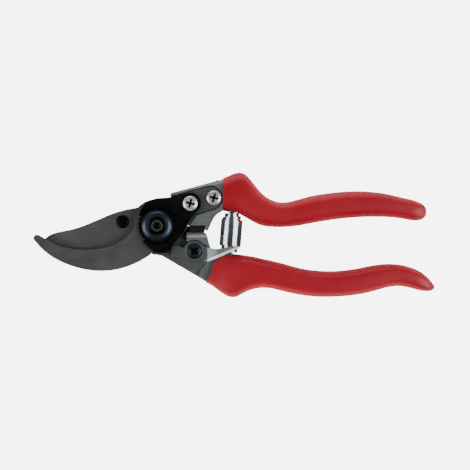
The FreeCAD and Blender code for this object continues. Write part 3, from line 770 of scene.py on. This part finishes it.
# ---- jaws ---------------------------------------------------------------------------------------
@dataclass
class Jaws:
    """The hook and the cutting blade, and the rivet through the blade."""

    hook_round: float = 0.6 * MM
    blade_round: float = 0.17 * MM
    rivet_front: float = 1.1 * MM
    steel: CoatedSteel = CoatedSteel("coated_steel", turn=0.35)

    def build(self) -> None:
        """Makes and fixes each piece."""
        hook = Workpiece.from_node("hook_jaw", "hook_blade")
        hook.round_edges(self.hook_round, 3).smooth()
        hook.fit(self.steel, Body.UPPER, "hook_blade")
        blade = Workpiece.from_node("cutting_jaw", "cutting_blade")
        blade.round_edges(self.blade_round).smooth()
        blade.fit(self.steel, Body.LOWER, "cutting_blade")
        self.rivet()

    def rivet(self) -> None:
        """A black domed rivet, its shank filling the blade and the arm behind."""
        low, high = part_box("blade_rivet")
        at, r = middle("blade_rivet"), (high.x - low.x) / 2
        base = high.z - self.rivet_front
        dome = [(r, high.z - 0.62 * MM), (r * 0.97, high.z - 0.4 * MM), (r * 0.88, high.z - 0.2 * MM),
                (r * 0.7, high.z - 0.07 * MM), (r * 0.45, high.z - 0.01 * MM), (r * 0.2, high.z)]
        piece = Workpiece.disc("blade_rivet_front", r, (at.x, at.y, base), 72)
        with piece.edit():
            piece.pick_faces(lambda face: True)
            piece.draw_up((at.x, at.y, base), dome, r)
        piece.mend().smooth(50)
        piece.fit(GlossBlack("black_steel"), Body.LOWER)
        back = Workpiece.from_node("blade_rivet_back", "blade_rivet")
        back.cut(Workpiece.above(at, r, base))
        back.mend().round_edges(0.15 * MM).smooth()
        back.fit(GlossBlack("black_steel"), Body.LOWER, "blade_rivet")


# ---- pivot --------------------------------------------------------------------------------------
@dataclass
class PivotHardware:
    """The nut, the bolt, the locking segment, the washer and the bush."""

    teeth: int = 24
    notch: float = 0.53 * MM
    thread: float = 4.0 * MM
    flange: float = 2.1 * MM
    shelf: float = 1.5 * MM
    lip: float = 0.75 * MM
    dome_steps: int = 12

    def build(self) -> None:
        """Makes and fixes each piece."""
        self.nut()
        self.bolt()
        segment = Workpiece.from_node("nut_lock", "locking_segment")
        segment.round_edges(0.16 * MM).smooth()
        segment.fit(GlossBlack("black_steel"), Body.UPPER, "locking_segment")
        for node, body in (("thrust_washer", Body.UPPER), ("pivot_bush", Body.LOWER)):
            ring = Workpiece.from_node(f"{node}_ring", node)
            ring.round_edges(0.12 * MM).smooth()
            bronze = TurnedSteel("bronze", polish=0.3)
            ring.fit(bronze, body, node)

    def nut(self) -> None:
        """A domed nut with a notched rim, open in the middle for the bolt's thread."""
        low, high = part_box("pivot_nut")
        rim, base, top = (high.x - low.x) / 2, low.z, high.z
        step = base + self.flange
        bore = self.thread + 0.05 * MM
        crown = rim - self.shelf
        root = step + 0.15 * MM
        profile = [(rim, step - 0.35 * MM), (rim - 0.1 * MM, step - 0.1 * MM), (rim - 0.35 * MM, step),
                   (crown, step), (crown - 0.05 * MM, root)]
        shoulder = bore + self.lip
        for i in range(1, self.dome_steps + 1):
            angle = math.pi / 2 * i / self.dome_steps
            radius = shoulder + (crown - 0.05 * MM - shoulder) * math.cos(angle)
            profile.append((radius, root + (top - root) * math.sin(angle)))
        profile += [(bore + 0.35 * MM, top - 0.12 * MM), (bore, top - 0.55 * MM), (bore, base), (rim, base)]
        piece = Workpiece.disc("dome_nut", rim, (0.0, 0.0, base), 160, "NOTHING")
        with piece.edit("EDGE"):
            bpy.ops.mesh.select_all(action="SELECT")
            piece.draw_up((0.0, 0.0, base), profile, rim)
        piece.mend()
        for i in range(self.teeth):
            angle = 2 * math.pi * i / self.teeth
            at = (rim * math.cos(angle), rim * math.sin(angle), base - 1 * MM)
            cutter = Workpiece.disc("notch", self.notch, at, 20)
            with cutter.edit():
                cutter.pick_faces(lambda face: True)
                cutter.draw_up(at, [(self.notch, step + 0.6 * MM)], self.notch)
            cutter.mend()
            piece.cut(cutter)
        piece.round_edges(0.1 * MM, 2, 40).smooth(35)
        finish = BluedDome("blued_steel", polish=0.3)
        piece.fit(finish, Body.UPPER, "pivot_nut")

    def bolt(self) -> None:
        """The bolt, whose bright thread end stands in the nut round a small centre hole."""
        piece = Workpiece.from_node("pivot_bolt_body", "pivot_bolt")
        piece.round_edges(0.12 * MM).smooth()
        piece.fit(BoltSteel("bright_steel"), Body.UPPER, "pivot_bolt")


# ---- screws -------------------------------------------------------------------------------------
@dataclass
class HeadScrew:
    """A domed screw with a cross recess in its head."""

    node: str
    body: Body
    slot: str
    polish: float = 0.14
    tone: float = 1.0
    head_height: float = 1.55 * MM
    rim_height: float = 0.5 * MM
    turn: float = 15.0
    reach: float = 3.1 * MM
    arm: float = 1.25 * MM
    depth: float = 1.15 * MM

    def build(self) -> None:
        """Makes the head over the CAD shank, cuts its recess and fixes it."""
        low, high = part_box(self.node)
        at, radius = middle(self.node), (high.x - low.x) / 2
        seat, top = high.z - self.head_height, high.z
        finish = ScrewSteel(self.slot, self.tone, tuple(at), self.polish, top)
        piece = Workpiece.disc(f"{self.node}_head", radius, (at.x, at.y, seat), 80)
        rim = seat + self.rim_height
        profile = [(radius, rim)]
        for i in range(1, 10):
            angle = math.pi / 2 * i / 9.6
            profile.append((radius * math.cos(angle), rim + (top - rim) * math.sin(angle)))
        with piece.edit():
            piece.pick_faces(lambda face: True)
            piece.draw_up((at.x, at.y, seat), profile, radius)
        piece.mend()
        for quarter in (0.0, 90.0):
            piece.cut(self.recess(Vector((at.x, at.y, top)), quarter + self.turn))
        piece.mend().round_edges(0.07 * MM, 2, 40).smooth(35)
        piece.fit(finish, self.body)
        shank = Workpiece.from_node(f"{self.node}_shank", self.node)
        shank.cut(Workpiece.above(at, radius, seat)).mend().smooth()
        shank.fit(finish, self.body, self.node)

    def recess(self, top: Vector, turn: float) -> "Workpiece":
        """A tapered bar that cuts two opposite arms of the recess.

        Args:
            top: the crown of the head.
            turn: the bar's angle in degrees.

        Returns:
            The cutter.
        """
        half = self.arm / 2
        low = (top.x - self.reach, top.y - half, top.z - self.depth)
        high = (top.x + self.reach, top.y + half, top.z + 0.5 * MM)
        bar = Workpiece.block("driver_arm", low, high)
        with bar.edit():
            bar.pick_faces(lambda face: face.normal.z < -0.9)
            bpy.ops.transform.resize(value=(0.5, 0.75, 1.0), center_override=(top.x, top.y, low[2]))
            bpy.ops.mesh.select_all(action="SELECT")
            bpy.ops.transform.rotate(value=math.radians(turn), orient_axis="Z", center_override=tuple(top))
        return bar


# ---- handles ------------------------------------------------------------------------------------
@dataclass
class Handles:
    """The two forged handles, their dipped coats, the bumper and the spring's pins."""

    edge_round: float = 0.3 * MM
    coat_round: float = 0.4 * MM
    small_round: float = 0.2 * MM

    def build(self) -> None:
        """Makes and fixes each piece."""
        alloys = {Body.UPPER: ForgedAluminium("forged_aluminium"),
                  Body.LOWER: ForgedWithLedge("forged_aluminium")}
        for body, alloy in alloys.items():
            side = body.value
            forging = Workpiece.from_node(f"{side}_forging", f"{side}_handle")
            forging.round_edges(self.edge_round).smooth()
            forging.fit(alloy, body, f"{side}_handle")
            coat = Workpiece.from_node(f"{side}_coat", f"{side}_grip")
            coat.round_edges(self.coat_round, 3).smooth(50)
            coat.fit(DippedVinyl("red_vinyl"), body, f"{side}_grip")
            pin = Workpiece.from_node(f"{side}_spring_peg", f"{side}_spring_pin")
            pin.round_edges(self.small_round).smooth()
            pin.fit(BrushedSteel("grey_steel"), body, f"{side}_spring_pin")
        cushion = Workpiece.from_node("bumper_cushion", "bumper")
        cushion.round_edges(0.12 * MM).smooth()
        cushion.fit(Rubber("black_rubber"), Body.UPPER, "bumper")
        nuts = Workpiece.from_node("head_nuts", "tang_nuts")
        nuts.round_edges(self.small_round).smooth()
        nuts.fit(TurnedSteel("bright_steel"), Body.UPPER, "tang_nuts")


# ---- spring -------------------------------------------------------------------------------------
@dataclass
class VoluteSpring:
    """A double volute wound from one strip, widest in the middle, between the two pegs."""

    strip: float = 0.45 * MM
    turns: float = 4.5
    steps: int = 30
    inner: float = 3.3 * MM
    outer: float = 5.7 * MM

    def build(self) -> None:
        """Winds the strip and stands it between the pegs."""
        foot, top = self.seats()
        length = (top - foot).length
        half = self.turns / 2
        count = round(self.turns * self.steps)
        piece = self.first_edge(length)
        with piece.edit("EDGE"):
            bpy.ops.mesh.select_all(action="SELECT")
            for i in range(count):
                before = self.section(-half + i / self.steps, length)
                after = self.section(-half + (i + 1) / self.steps, length)
                self.wind(before, after)
        piece.apply("SOLIDIFY", thickness=self.strip, offset=0.0)
        lean = (top - foot).to_track_quat("Z", "Y").to_matrix().to_4x4()
        piece.obj.matrix_world = Matrix.Translation(foot) @ lean
        select_only(piece.obj)
        bpy.ops.object.transform_apply(location=True, rotation=True, scale=True)
        piece.mend().round_edges(0.12 * MM, 2, 60).smooth(40)
        finish = PolishedStrip("spring_steel")
        piece.obj.data.materials.append(finish.material())
        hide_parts("return_spring")
        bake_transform(piece.obj)
        log.info("%s: %d faces, bends between the handles", piece.obj.name, len(piece.obj.data.polygons))

    def seats(self) -> tuple[Vector, Vector]:
        """Where the spring stands on the lower handle and under the upper one."""
        low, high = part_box("return_spring")
        height = (low.z + high.z) / 2
        foot = Vector((middle("lower_spring_pin").x, low.y + 0.15 * MM, height))
        top = Vector((middle("upper_spring_pin").x, high.y - 0.15 * MM, height))
        return foot, top

    def section(self, turn: float, length: float) -> tuple[float, float, float]:
        """The strip's section after a number of turns from the spring's middle.

        Args:
            turn: turns from the middle, below zero towards the foot.
            length: the spring's length.

        Returns:
            The radius, and the heights of the strip's lower and upper edges.
        """
        share = min(1.0, abs(turn) / (self.turns / 2))
        radius = self.outer - (self.outer - self.inner) * share
        reach = length * (0.29 + 0.21 * share)
        near = length * (0.05 + 0.25 * share)
        blend = max(0.0, min(1.0, (abs(turn) - 0.4) / 0.09))
        near = near * blend - reach * (1 - blend)
        if turn < 0:
            near, reach = -near, -reach
        return radius, length / 2 + min(near, reach), length / 2 + max(near, reach)

    def first_edge(self, length: float) -> Workpiece:
        """The strip's end at the foot, as one upright edge."""
        radius, low, high = self.section(-self.turns / 2, length)
        select_only()
        bpy.ops.mesh.primitive_plane_add(size=1.0, rotation=(math.pi / 2, 0.0, 0.0))
        piece = Workpiece("volute_spring")
        bpy.ops.object.transform_apply(location=True, rotation=True, scale=True)
        with piece.edit("VERT"):
            mesh = bmesh.from_edit_mesh(piece.obj.data)
            for corner in mesh.verts:
                corner.select_set(corner.co.x < 0)
            bmesh.update_edit_mesh(piece.obj.data)
            bpy.ops.mesh.delete(type="VERT")
            bpy.ops.mesh.select_all(action="SELECT")
            bpy.ops.transform.resize(value=(1.0, 1.0, high - low), center_override=ORIGIN)
            bpy.ops.transform.translate(value=(radius - 0.5, 0.0, (low + high) / 2))
        return piece

    def wind(self, before: tuple[float, float, float], after: tuple[float, float, float]) -> None:
        """Draws the strip's end round by one step, from one section to the next."""
        bpy.ops.mesh.extrude_edges_move()
        step = 2 * math.pi / self.steps
        bpy.ops.transform.rotate(value=-step, orient_axis="Z", center_override=ORIGIN)
        share = after[0] / before[0]
        tall = (after[2] - after[1]) / (before[2] - before[1])
        bpy.ops.transform.resize(value=(share, share, tall), center_override=(0.0, 0.0, before[1]))
        bpy.ops.transform.translate(value=(0.0, 0.0, after[1] - before[1]))


# ---- catch --------------------------------------------------------------------------------------
@dataclass
class ThumbCatch:
    """The catch lever, its screw and the coned washer behind it."""

    def build(self) -> None:
        """Makes and fixes each piece."""
        lever = Workpiece.from_node("catch_lever", "thumb_catch")
        lever.round_edges(0.3 * MM).smooth()
        steel = CatchSteel("grey_steel", turn=0.2, rough=0.26, well=tuple(middle("catch_screw")))
        lever.fit(steel, Body.CATCH, "thumb_catch")
        HeadScrew("catch_screw", Body.LOWER, "blued_steel", 0.34, 0.5, turn=40.0).build()
        washer = Workpiece.from_node("coned_washer", "catch_washer")
        washer.smooth()
        washer.fit(BrushedSteel("spring_steel"), Body.LOWER, "catch_washer")


# ---- studio -------------------------------------------------------------------------------------
@dataclass(frozen=True)
class Lamp:
    """One soft panel of light: its place, the lengths of its sides and its power in watts."""

    name: str
    at: Point
    sides: tuple[float, float]
    watts: float


@dataclass
class Studio:
    """A pale floor, soft light and a camera that looks straight down."""

    height: float = 1.25
    view_width: float = 0.2458
    view_centre: tuple[float, float] = (0.0406, -0.0048)
    floor_size: float = 3.0
    sky: float = 0.12
    glow: float = 6.0
    lamps: tuple[Lamp, ...] = (
        Lamp("left", (-0.9, -0.2, 0.62), (0.8, 0.9), 11.0),
        Lamp("right", (0.85, -0.15, 0.72), (0.8, 0.9), 13.0),
        Lamp("back", (-0.1, 0.95, 0.5), (0.9, 0.3), 3.0),
    )

    def build(self) -> None:
        """Sets up the floor, the lights and the camera."""
        self.floor()
        for lamp in self.lamps:
            self.light(lamp)
        world = bpy.data.worlds.new("soft_room")
        world.use_nodes = True
        background = next(n for n in world.node_tree.nodes if n.type == "BACKGROUND")
        background.inputs["Color"].default_value = (0.9, 0.93, 1.0, 1.0)
        background.inputs["Strength"].default_value = self.sky
        bpy.context.scene.world = world
        self.camera()

    def floor(self) -> None:
        """A pale matt floor under the pruner."""
        low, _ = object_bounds()
        piece = Workpiece.disc("floor", self.floor_size / 2, (0.04, 0.0, low.z - 0.0002), 64)
        g = Graph("pale_floor")
        tone = g.noise(3.0, 3.0)
        pale = g.mix(tone, (0.93, 0.93, 0.93), (0.96, 0.96, 0.96))
        piece.obj.visible_glossy = False
        floor = g.dress(Base_Color=pale, Roughness=0.8, Emission_Color=pale, Emission_Strength=self.glow)
        piece.obj.data.materials.append(floor)
        piece.obj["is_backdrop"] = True

    def light(self, lamp: Lamp) -> None:
        """Hangs one soft panel that faces the pruner."""
        panel = bpy.data.lights.new(lamp.name, "AREA")
        panel.shape = "RECTANGLE"
        panel.size, panel.size_y = lamp.sides
        panel.energy = lamp.watts
        piece = bpy.data.objects.new(lamp.name, panel)
        bpy.context.scene.collection.objects.link(piece)
        piece.location = lamp.at
        aim = Vector((self.view_centre[0], self.view_centre[1], 0.0)) - Vector(lamp.at)
        piece.rotation_euler = aim.to_track_quat("-Z", "Y").to_euler()

    def camera(self) -> None:
        """The camera, straight above, with its top towards +Y."""
        lens = bpy.data.cameras.new("overhead")
        lens.sensor_width = 36.0
        lens.lens = lens.sensor_width * (self.height - 0.012) / self.view_width
        lens.clip_start, lens.clip_end = 0.05, 20.0
        piece = bpy.data.objects.new("overhead", lens)
        bpy.context.scene.collection.objects.link(piece)
        piece.location = (*self.view_centre, self.height)
        bpy.context.scene.camera = piece


def main() -> None:
    """Builds every sub-assembly in order."""
    logging.basicConfig(level=logging.INFO, format="%(message)s")
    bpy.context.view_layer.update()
    Jaws().build()
    PivotHardware().build()
    for node in ("tang_screw", "segment_screw"):
        HeadScrew(node, Body.UPPER, "bright_steel").build()
    Handles().build()
    VoluteSpring().build()
    ThumbCatch().build()
    Studio().build()
    bpy.context.view_layer.update()


if __name__ == "__main__":
    main()
